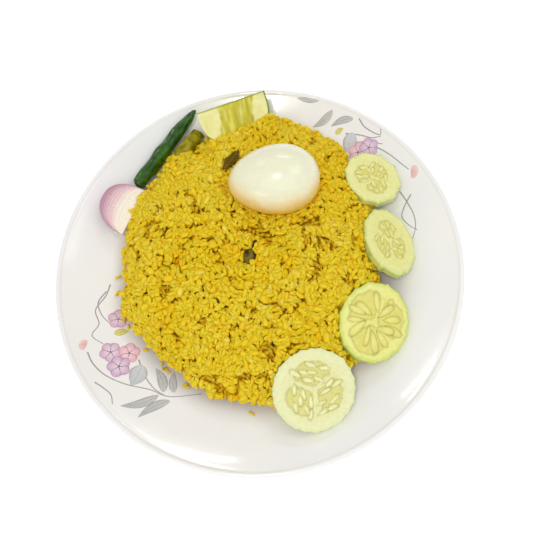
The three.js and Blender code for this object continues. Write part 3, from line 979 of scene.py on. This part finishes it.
def cardamom_pod(material):
    """A three-ribbed spindle with fine ridges along it."""
    part = np.linspace(0.002, 0.998, 60)[:, None]
    angle = round_angles(72)[None]
    girth = POD["radius"] * np.sin(np.pi * part) ** 0.8
    ridges = 0.02 * np.sin(24 * angle + 2 * np.sin(9 * part)) * np.sin(np.pi * part)
    reach = girth * (1 + 0.07 * np.cos(POD["ribs"] * angle) + ridges)
    x = (part - 0.5) * POD["length"] + 0 * angle
    rings = np.stack([x, reach * np.cos(angle), reach * np.sin(angle)], -1)
    placed = set_on("cardamom_pod", turned(rings, 0, 12, 75))
    lofted_piece("dark_cardamom", placed, None, material, ["cardamom_pod"])


def clove(material):
    """A clove that leans on the pod: a tapering stalk, a round bud and four pointed lobes."""
    stalk = [(0, 0.3), (0.3, 0.6), (2, 0.75), (4, 0.95), (5.6, 1.15), (6.2, 0.9)]
    bud = [(6, 0.5), (6.3, 1.0), (7, 1.25), (7.7, 1.1), (8.2, 0.6), (8.4, 0.15)]
    parts = [spindle(stalk, 10), spindle(bud, 10)]
    lobe, lobe_faces = spindle([(0, 0.5), (0.6, 0.45), (1.3, 0.25), (1.8, 0.05)], 8)
    tilted = turned(lobe, pitch=-50) + [5.6, 0, 0.9]
    for number in range(4):
        parts.append((turned(tilted, roll=90 * number), lobe_faces))
    points, faces = joined(parts)
    low, high = node_box("cardamom_pod")
    beside_pod = [(low[0] + high[0]) / 2 + 1.2, high[1] - 1.5, high[2] - 2.2]
    placed = turned(0.72 * points, pitch=-14, turn=62) + beside_pod
    build_piece("clove", placed, faces, material)


# ---- Rice ----

def heap_edge(angle):
    """Distance from the heap's centre to its edge, smooth between the distances in HEAP."""
    edge = np.array(HEAP["edge"], float)
    place = (angle / (2 * np.pi) * len(edge)) % len(edge)
    before = np.floor(place).astype(int)
    nearby = (edge[(before + offset) % len(edge)] for offset in (-1, 0, 1, 2))
    return curve_point(*nearby, place - before)


def lump(x, y):
    """The heap's broad unevenness, in millimetres."""
    wide = np.sin(x / 8.5 + 1.3 * np.sin(y / 13)) * np.cos(y / 7.6 + np.sin(x / 16))
    fine = 0.5 * np.sin(x / 4.1 + y / 5.3) * np.sin(y / 3.9 - x / 7.1)
    return HEAP["lump_height"] * (wide + fine)


def heap_level(part):
    """The heap's height without unevenness, part of the way from its middle (0) to its edge (1)."""
    rise = np.maximum(1 - part ** HEAP["steepness"], 0) ** HEAP["shoulder"]
    return plate_top(0) + HEAP["height"] * rise


def heap_surface(parts, around, sink=0.0):
    """The heap's top as rings of points from its middle out, each part of the way to its edge, lowered by
    sink millimetres, and the height of its underside at each point."""
    angle = round_angles(around)[None]
    part = np.asarray(parts)[:, None]
    ragged = (1.6 * np.sin(9 * angle) + 1.1 * np.sin(14 * angle + 1)) * part ** 8
    reach = heap_edge(angle) * part + ragged
    x = HEAP["centre"][0] + reach * np.cos(angle)
    y = HEAP["centre"][1] + reach * np.sin(angle)
    under = plate_top(np.hypot(x, y)) + HEAP["lift"]
    top = np.maximum(heap_level(part) + lump(x, y) * (1 - part ** 6) - sink, under + 1.2)
    return np.stack([x, y, top], -1), under


# How far a grain's middle stays from what it lies against, and how near it comes to the tops of the raw
# chili and of the leaf, which are bare, and to a slice's outline.
GRAIN_ROOM = 0.95
CHILI_ROOM = 3.2
LEAF_ROOM = 2.4
SLICE_ROOM = 0.6
# Beside the raw chili the rice lies lower: how far from it, how far below it, and how it rises from there.
CHILI_DITCH = {"reach": 9, "depth": 1, "slope": 0.35}
NOWHERE = 1e3


def piece_mesh(name):
    """A piece's points, in millimetres, and its faces."""
    mesh = bpy.data.objects[name].data
    return [vertex.co / MM for vertex in mesh.vertices], [tuple(face.vertices) for face in mesh.polygons]


class Toppings:
    """What lies on the rice, for keeping the grains clear of it."""

    def __init__(self, names):
        points, faces, covers = [], [], []
        for name in names:
            start = len(points)
            more_points, more_faces = piece_mesh(name)
            points += more_points
            shifted = [[start + corner for corner in face] for face in more_faces]
            faces += shifted
            nearest, farthest = CLEAR_PART.get(name, (-NOWHERE, NOWHERE))
            covers += [face for face in shifted if nearest < points[face[0]].y < farthest]
        self.tree = BVHTree.FromPolygons(points, faces)
        self.cover = BVHTree.FromPolygons(points, covers)
        self.chili = BVHTree.FromPolygons(*piece_mesh("raw_green_chili"))
        self.leaf = BVHTree.FromPolygons(*piece_mesh("bay_leaf_piece"))
        self.slices = [self.slice_frame(number) for number in SLICES]

    @staticmethod
    def slice_frame(number):
        """A slice's middle, its axes (width, length and normal) as rows, and its numbers."""
        look = SLICES[number]
        axes = turned(np.eye(3), pitch=look["lean"], turn=look["facing"])
        return node_middle(f"cucumber_{number}"), axes, look

    def underside(self, x, y):
        """Height of the lowest thing above a point of the plate, or a large number."""
        hit = self.cover.ray_cast(Vector((x, y, -5)), Vector((0, 0, 1)))
        return hit[0].z if hit[0] is not None else NOWHERE

    def nearest(self, point):
        """The nearest point of a topping, its outward normal, and the distance, below 0 inside it."""
        place, normal, _, distance = self.tree.find_nearest(Vector(point))
        outside = (Vector(point) - place).dot(normal) >= 0
        return np.array(place), np.array(normal), distance if outside else -distance

    def by_chili(self, point):
        """How high the rice may lie at a point because of the raw chili, which stays clear of it."""
        spot, _, _, distance = self.chili.find_nearest(Vector(point), CHILI_DITCH["reach"])
        return spot.z - CHILI_DITCH["depth"] + CHILI_DITCH["slope"] * distance if spot else NOWHERE

    def on_bare_piece(self, point):
        """Whether a point lies on top of the raw chili or by the clear part of the leaf."""
        beside, normal, _, _ = self.chili.find_nearest(Vector(point), CHILI_ROOM)
        leaf, _, _, _ = self.leaf.find_nearest(Vector(point), LEAF_ROOM)
        return bool(beside and normal.z > 0.1 or leaf and leaf.y < CLEAR_PART["bay_leaf_piece"][1])

    def over_slice(self, point):
        """Whether a point is above a cucumber slice, within its outline."""
        for middle, axes, look in self.slices:
            x, y, z = axes @ (point - middle)
            across, along = look["across"] + SLICE_ROOM, look["along"] + SLICE_ROOM
            if z > 0 and (x / across) ** 2 + (y / along) ** 2 < 1:
                return True
        return False

    def hides(self, point):
        """Whether toppings close off a point from above and from eight slanting views round it."""
        views = [Vector((0, 0, 1))] + [Vector((*heading(turn), 0.55)) for turn in range(0, 360, 45)]
        start = Vector(point)
        sight = 60
        return all(self.tree.ray_cast(start, view, sight)[0] is not None for view in views)


def bank_by_lime(x, y):
    """Height of the rice that is banked up over the lime's lower edge, or 0 away from the lime."""
    bank = LIME_BANK
    middle, top = node_middle("lime_wedge"), node_box("lime_wedge")[1][2]
    turn = math.radians(LIME["turn"])
    off_x, off_y = x - middle[0], y - middle[1]
    along = off_x * math.cos(turn) + off_y * math.sin(turn)
    out = off_x * math.sin(turn) - off_y * math.cos(turn)
    beyond = out + bank["skew"] * along - bank["out"]
    height = top - bank["drop"] - bank["slope"] * beyond
    end = bank["half_length"] + bank["end_length"]
    height = height - bank["end_drop"] * ease(bank["half_length"], end, np.abs(along - bank["middle"]))
    return np.where((beyond > 0) & (beyond < bank["breadth"]), height, 0)


def rice_skin(toppings):
    """The heap's outer face as triangles, pressed in under everything that lies on it and banked up by the
    lime. It stops short of the heap's edge, because the outermost grains stick out past it."""
    gap = 0.2
    parts = 1 - (1 - np.linspace(0.002, 1, 76)) ** 1.7
    rings, _ = heap_surface(HEAP["grain_share"] * parts, 264)
    for ring in rings:
        for point in ring:
            point[2] = min(point[2], toppings.underside(point[0], point[1]) - gap, toppings.by_chili(point))
    rings[..., 2] = np.maximum(rings[..., 2], bank_by_lime(rings[..., 0], rings[..., 1]))
    around = np.roll(rings, -1, axis=1)
    corners = [rings[:-1], around[:-1], around[1:], rings[1:]]
    a, b, c, d = (corner.reshape(-1, 3) for corner in corners)
    return np.concatenate([np.stack([a, b, c], 1), np.stack([a, c, d], 1)])


# The unevenness of grains that stick together: the height, the width and the seed of each size of clump.
CLUMPS = ((0.8, 9, 90), (2.3, 4.3, 91))
# No upper grain lies in the gaps between clumps, below this height.
GAP_LEVEL = -0.66
# Grains deeper than this below the heap's face are its lower layer.
LOWER_LAYER = 2


def clump(points):
    """How far the heap's face stands out (mm) where grains have stuck together, or in between them."""
    return sum(height * wobble(points, width, seed) for height, width, seed in CLUMPS)


def thin_out(points, spacing):
    """Indexes of points, first come first kept, so that none are closer together than spacing."""
    tree = KDTree(len(points))
    for index, point in enumerate(points):
        tree.insert(point, index)
    tree.balance()
    free = np.ones(len(points), bool)
    kept = []
    for index, point in enumerate(points):
        if free[index]:
            kept.append(index)
            free[[near[1] for near in tree.find_range(point, spacing)]] = False
    return kept


def scatter(rng, triangles, depth, spacing, tries):
    """Places depth below the heap's clumpy face, at least spacing apart, and the face's normals there."""
    a, b, c = triangles.transpose(1, 0, 2)
    cross = np.cross(b - a, c - a)
    area = np.linalg.norm(cross, axis=1)
    chosen = rng.choice(len(triangles), tries, p=area / area.sum())
    first, second = rng.uniform(0, 1, (2, tries, 1))
    flip = first + second > 1
    first, second = np.where(flip, 1 - first, first), np.where(flip, 1 - second, second)
    points = a[chosen] + first * (b - a)[chosen] + second * (c - a)[chosen]
    normals = unit(cross[chosen] * np.sign(cross[chosen][:, 2:] + 1e-9))
    deep = depth > LOWER_LAYER
    banked = bank_by_lime(points[:, 0], points[:, 1]) > 0
    rise = clump(points) * (0.35 if deep else np.where(banked, 0.5, 1))
    stuck = deep | banked | (rise > GAP_LEVEL)
    points = (points + normals * (rise - depth)[:, None])[stuck]
    kept = thin_out(points, spacing)
    return points[kept], normals[stuck][kept]


def clear_places(toppings, points, normals, room):
    """The places where a grain fits: above the plate, beside the toppings and not out of sight. Each comes
    with its normal and the outward normal of a topping that it nearly touches, or zeros."""
    deepest_inside = -1.5
    touching = 3
    places = []
    for point, normal in zip(points, normals):
        if toppings.over_slice(point) or toppings.on_bare_piece(point):
            continue
        spot, outward, distance = toppings.nearest(point)
        if distance < deepest_inside or toppings.hides(point):
            continue
        if distance < room:
            point = spot + outward * room
        floor = plate_top(math.hypot(point[0], point[1])) + room * 0.9
        point[2] = max(point[2], floor)
        places.append((point, normal, outward if abs(distance) < touching else np.zeros(3)))
    return (np.array(column) for column in zip(*places))


def grain_template(blunt):
    """A grain one long and one thick along X as points, faces and the map place of each face corner. A
    blunt grain is broken across at one end."""
    around = 6
    stations = [(-0.42, 0.3), (-0.17, 0.49), (0.14, 0.5), (0.4, 0.31)]
    if blunt:
        stations = [(-0.4, 0.31), (-0.12, 0.5), (0.2, 0.49), (0.42, 0.43)]
    points, faces = spindle(stations, around)
    points[-2:] = [[-0.5, 0, 0], [0.47 if blunt else 0.5, 0, 0]]
    places = []
    for here in range(around):
        left, right = here / around, (here + 1) / around
        places += [(0, (left + right) / 2), (0.1, right), (0.1, left)]
        places += [(1, (left + right) / 2), (0.9, left), (0.9, right)]
        for ring in range(3):
            low, high = 0.1 + 0.27 * ring, 0.37 + 0.27 * ring
            places += [(low, left), (low, right), (high, right), (high, left)]
    return points, faces, np.array(places)


def grain_axes(rng, places, normals, touching, tilt):
    """Each grain's own X, Y and Z: lying along the face, much as its neighbours do, tilted a little, and
    flat against a topping that it touches."""
    flow = np.stack([wobble(places, 7, seed=92 + axis) for axis in range(3)], -1)
    aside = unit(np.cross(normals, flow + rng.normal(0, 0.22, normals.shape)))
    lean = np.radians(rng.normal(0, tilt, (len(normals), 1)))
    ahead = np.cos(lean) * aside + np.sin(lean) * normals
    ahead = unit(ahead - np.sum(ahead * touching, axis=1, keepdims=True) * touching)
    third = unit(np.cross(ahead, rng.normal(size=normals.shape)))
    return np.stack([ahead, np.cross(third, ahead), third], -1)


def build_grains(name, rng, places, axes, sizes, tints, blunt, material):
    """One joined mesh of grains. sizes are (length, width, thickness) rows, and each grain's map has a
    cell of its own, so that its colours can be kept in an image."""
    shape, faces, corners = grain_template(blunt)
    count = len(places)
    local = shape[None] * sizes[:, None]
    local[..., 1] += rng.uniform(-0.5, 0.7, (count, 1)) * (shape[:, 0] * 2)[None] ** 2 * 0.5
    points = places[:, None] + np.einsum("nij,npj->npi", axes, local)
    stride = len(shape)
    all_faces = [tuple(c + start for c in f) for start in range(0, count * stride, stride) for f in faces]
    piece = build_piece(name, points.reshape(-1, 3), all_faces, material,
                        tints=np.repeat(tints, stride, axis=0))
    side = math.ceil(math.sqrt(count))
    cell = np.stack([np.arange(count) % side, np.arange(count) // side], -1)[:, None]
    margin = 0.06
    places_on_map = (cell + margin + corners[None] * (1 - 2 * margin)) / side
    layer = piece.data.uv_layers.new(name="OFBake")
    layer.data.foreach_set("uv", places_on_map.ravel())
    return piece


RICE_PALE = colour(251, 222, 86)
RICE_YELLOW = colour(250, 215, 46)
RICE_DEEP = colour(244, 202, 14)
RICE_GOLD = colour(243, 194, 4)
RICE_SHADOW_ORANGE = colour(220, 140, 10)
# How much darker the grains of the lower layer are in red, green and blue: mostly painted shade for grains
# that lie deeper, partly their oilier look.
RICE_BELOW_PAINTED_SHADE = np.array([0.8, 0.74, 0.5])


def rice_tints(rng, places, gold):
    """Each grain's colour: pale to deep yellow in drifts over the heap, some of them golden, and darker
    orange by the second slice's foot, partly a spice tint and partly a painted shadow under the slice's edge."""
    drift = 0.5 + 0.35 * wobble(places, 17, seed=95) + rng.normal(0, 0.22, len(places))
    shade = blend(RICE_DEEP, RICE_YELLOW, drift * 1.4)
    shade = blend(shade, RICE_PALE, ease(0.75, 1.1, drift))
    golden = ease(1 - gold, 1.04 - gold, rng.uniform(0, 1, len(places)) + 0.12 * wobble(places, 9, seed=96))
    shade = blend(shade, RICE_GOLD, golden)
    # Painted shadow under the second slice's edge, warmed orange.
    low, high = node_box("cucumber_2")
    shaded_spot = np.array([(low[0] + high[0]) / 2 - 2, low[1] - 1])
    away = np.linalg.norm(places[:, :2] - shaded_spot, axis=1)
    return blend(shade, RICE_SHADOW_ORANGE, 0.5 * ease(8, 3, away))


# Each kind of grain: how deep it lies, its spacing, how many places are tried, its usual length and
# width, its spread of tilt in degrees, whether it is broken, and the share that is golden.
GRAIN_KINDS = {
    "rice_flakes": {"depth": 0.4, "spacing": 3.9, "tries": 15000, "length": 6.2, "width": 4.2,
                    "tilt": 13, "blunt": True, "gold": 0.04},
    "rice_whole_grains": {"depth": 0.2, "spacing": 2.9, "tries": 24000, "length": 6.2, "width": 2.7,
                          "tilt": 17, "blunt": False, "gold": 0.04},
    "rice_short_grains": {"depth": 0.8, "spacing": 2.7, "tries": 24000, "length": 5.0, "width": 3.1,
                          "tilt": 22, "blunt": False, "gold": 0.06},
    "rice_broken_grains": {"depth": 0.8, "spacing": 2.9, "tries": 24000, "length": 4.2, "width": 3.3,
                           "tilt": 26, "blunt": True, "gold": 0.1},
    "rice_deep_grains": {"depth": 2.6, "spacing": 2.2, "tries": 34000, "length": 5.2, "width": 2.8,
                         "tilt": 22, "blunt": False, "gold": 0.1},
}


def rice_grains(toppings, material):
    triangles = rice_skin(toppings)
    for number, (name, kind) in enumerate(GRAIN_KINDS.items()):
        rng = np.random.default_rng(100 + number)
        points, normals = scatter(rng, triangles, kind["depth"], kind["spacing"], kind["tries"])
        places, normals, touching = clear_places(toppings, points, normals, GRAIN_ROOM)
        count = len(places)
        length = kind["length"] * np.exp(rng.normal(0, 0.16, count))
        width = kind["width"] * rng.uniform(0.78, 1.16, count)
        sizes = np.stack([np.clip(length, 2.8, 7.6), width, width * rng.uniform(0.6, 0.92, count)], -1)
        axes = grain_axes(rng, places, normals, touching, kind["tilt"])
        tints = rice_tints(rng, places, kind["gold"])
        # Painted shade on the lower layer's grains.
        if kind["depth"] > LOWER_LAYER:
            tints = tints * RICE_BELOW_PAINTED_SHADE
        build_grains(name, rng, places, axes, sizes, tints, kind["blunt"], material)


# How many grains lie loose on the plate, and the stretch of the heap's edge that they lie beside.
LOOSE_GRAINS = {"count": 15, "from": 165, "to": 290}


def loose_grains(material):
    """Grains that have rolled off the heap onto the plate."""
    rng = np.random.default_rng(120)
    stretch = math.radians(LOOSE_GRAINS["from"]), math.radians(LOOSE_GRAINS["to"])
    angle = rng.uniform(*stretch, LOOSE_GRAINS["count"])
    outward = heap_edge(angle) + np.abs(rng.normal(0, 1.4, len(angle))) - 1
    x = HEAP["centre"][0] + outward * np.cos(angle)
    y = HEAP["centre"][1] + outward * np.sin(angle)
    distance = np.hypot(x, y)
    places = np.stack([x, y, plate_top(distance) + GRAIN_ROOM], -1)
    slope = (plate_top(distance + 0.5) - plate_top(distance - 0.5))[:, None]
    normals = unit(np.hstack([-slope * places[:, :2] / distance[:, None], np.ones((len(x), 1))]))
    axes = grain_axes(rng, places, normals, np.zeros_like(normals), 3)
    width = rng.uniform(1.7, 2.0, len(x))
    sizes = np.stack([rng.uniform(2.6, 5.2, len(x)), width, width * 0.9], -1)
    tints = rice_tints(rng, places, 0.15)
    build_grains("rice_loose_grains", rng, places, axes, sizes, tints, True, material)


def rice_core(toppings, material):
    """The heap's inside, painted darker than the grains as the shade in the gaps between them: smaller than
    the solid it stands for, and clear of what lies on it.
    """
    gap = 1.4
    top_parts = 0.93 * (1 - (1 - np.linspace(0.04, 1, 44)) ** 1.6)
    top, _ = heap_surface(top_parts, 160, sink=5.2)
    for ring in top:
        for point in ring:
            point[2] = min(point[2], toppings.underside(point[0], point[1]) - gap)
    under_parts = [0.915, 0.8, 0.6, 0.3]
    under, height = heap_surface(under_parts, 160)
    under[..., 2] = height
    outer = plate_top(np.hypot(top[..., 0], top[..., 1])) + HEAP["lift"] + 0.4
    top[..., 2] = np.maximum(top[..., 2], outer)
    rings = np.concatenate([top, under])
    lofted_piece("rice_core", rings, None, material, ["rice"])


SPICE_SPOTS = [
    (58, 17), (38, -20), (-42, 34), (-20, -28), (12, -52), (-55, 2), (20, 8), (-30, 62), (-8, 22),
]


def spice_seeds(material):
    """A few dark seeds and specks of spice caught in the top of the heap."""
    rng = np.random.default_rng(130)
    places = []
    for x, y in SPICE_SPOTS:
        across = np.array([x - HEAP["centre"][0], y - HEAP["centre"][1]])
        part = np.linalg.norm(across) / heap_edge(math.atan2(across[1], across[0]))
        point = np.array([x, y, heap_level(part) + lump(x, y)])
        places.append(point + [0, 0, clump(point) + 0.1])
    places = np.array(places)
    normals = np.tile([0.0, 0.0, 1.0], (len(places), 1))
    axes = grain_axes(rng, places, normals, np.zeros_like(normals), 12)
    width = rng.uniform(1.0, 1.7, len(places))
    sizes = np.stack([rng.uniform(2.2, 3.6, len(places)), width, width * 0.9], -1)
    tints = np.tile(colour(60, 40, 10), (len(places), 1))
    build_grains("spice_seeds", rng, places, axes, sizes, tints, False, material)


# ---- Studio ----

# The camera's target and distance are in millimetres, and its angles in degrees.
CAMERA = {
    "target": (12.19, -3.61, 10.0), "distance": 450, "azimuth": 12.83, "elevation": 70.6, "roll": -12.83,
    "view_angle": 42.48,
}
# Each light's azimuth and elevation, its distance, width and height in metres, and its power in watts.
LIGHTS = {
    "ceiling_panel": (340, 75, 1.2, 0.17, 0.17, 2.3),
    "side_panel": (100, 54, 1.3, 0.6, 0.5, 1.7),
    "front_panel": (2, 52, 1.3, 1.7, 0.9, 3.25),
    "front_strip": (-32, 12, 1.4, 0.5, 0.1, 1.2),
    "back_window": (172, 40, 1.4, 0.52, 0.045, 1.2),
    "left_window": (220, 40, 1.4, 0.28, 0.035, 0.45),
}


def towards(azimuth, elevation):
    """The direction to something seen at that azimuth (0 in front, at -Y, and 90 at +X) and elevation."""
    turn, height = math.radians(azimuth), math.radians(elevation)
    return Vector((math.sin(turn) * math.cos(height), -math.cos(turn) * math.cos(height), math.sin(height)))


def studio_camera():
    data = bpy.data.cameras.new("camera")
    data.angle = math.radians(CAMERA["view_angle"])
    data.clip_start = 0.01
    camera = add_object("camera", data)
    back = towards(CAMERA["azimuth"], CAMERA["elevation"])
    look = (-back).to_track_quat("-Z", "Y").to_matrix().to_4x4()
    roll = Matrix.Rotation(math.radians(CAMERA["roll"]), 4, "Z")
    place = (Vector(CAMERA["target"]) + back * CAMERA["distance"]) * MM
    camera.matrix_world = Matrix.Translation(place) @ look @ roll
    bpy.context.scene.camera = camera


def area_light(name, azimuth, elevation, distance, width, height, power):
    """A soft panel in metres, at that distance from the food and facing it."""
    data = bpy.data.lights.new(name, "AREA")
    data.shape = "RECTANGLE"
    data.size, data.size_y = width, height
    data.energy = power
    light = add_object(name, data)
    direction = towards(azimuth, elevation)
    light.location = direction * distance
    light.rotation_mode = "QUATERNION"
    light.rotation_quaternion = direction.to_track_quat("Z", "Y")


def soft_surroundings():
    world = bpy.data.worlds.new("soft_surroundings")
    world.use_nodes = True
    background = world.node_tree.nodes["Background"]
    background.inputs["Color"].default_value = (1.0, 0.995, 0.98, 1)
    background.inputs["Strength"].default_value = 0.52
    return world


def floor():
    """A square sheet, in metres, just under the plate."""
    mesh = bpy.data.meshes.new("floor")
    reach, drop = 3.0, -0.0002
    corners = [(-reach, -reach, drop), (reach, -reach, drop), (reach, reach, drop), (-reach, reach, drop)]
    mesh.from_pydata(corners, [], [(0, 1, 2, 3)])
    mesh.materials.append(studio_floor())
    add_object("floor", mesh)


def studio():
    scene = bpy.context.scene
    scene.view_settings.view_transform = "Standard"
    scene.world = soft_surroundings()
    for name, numbers in LIGHTS.items():
        area_light(name, *numbers)
    floor()


# ---- The plated meal ----

def plated_meal():
    dinner_plate()
    plate_print()
    peeled_egg()
    cut_cucumber = wet_flesh("cut_cucumber", 0.8, 0.03)
    for number, look in SLICES.items():
        cucumber_slice(number, look, cut_cucumber)
    lime_wedge()
    onion_wedge()
    chilies()
    bay_leaf()
    spice = dry_spice("dark_spice", colour(30, 16, 0), colour(122, 104, 24), size=5)
    cardamom_pod(spice)
    clove(dry_spice("clove_brown", colour(40, 16, 8), colour(74, 34, 16)))
    toppings = Toppings(
        ["peeled_egg", "lime", "onion", "raw_green_chili", "cooked_green_chili", "bay_leaf_piece"]
        + ["dark_cardamom", "clove"] + [f"cucumber_slice_{number}" for number in SLICES]
    )
    grain = rice_grain()
    rice_core(toppings, rice_core_painted_shade())
    rice_grains(toppings, grain)
    loose_grains(grain)
    spice_seeds(spice)


plated_meal()
studio()
studio_camera()
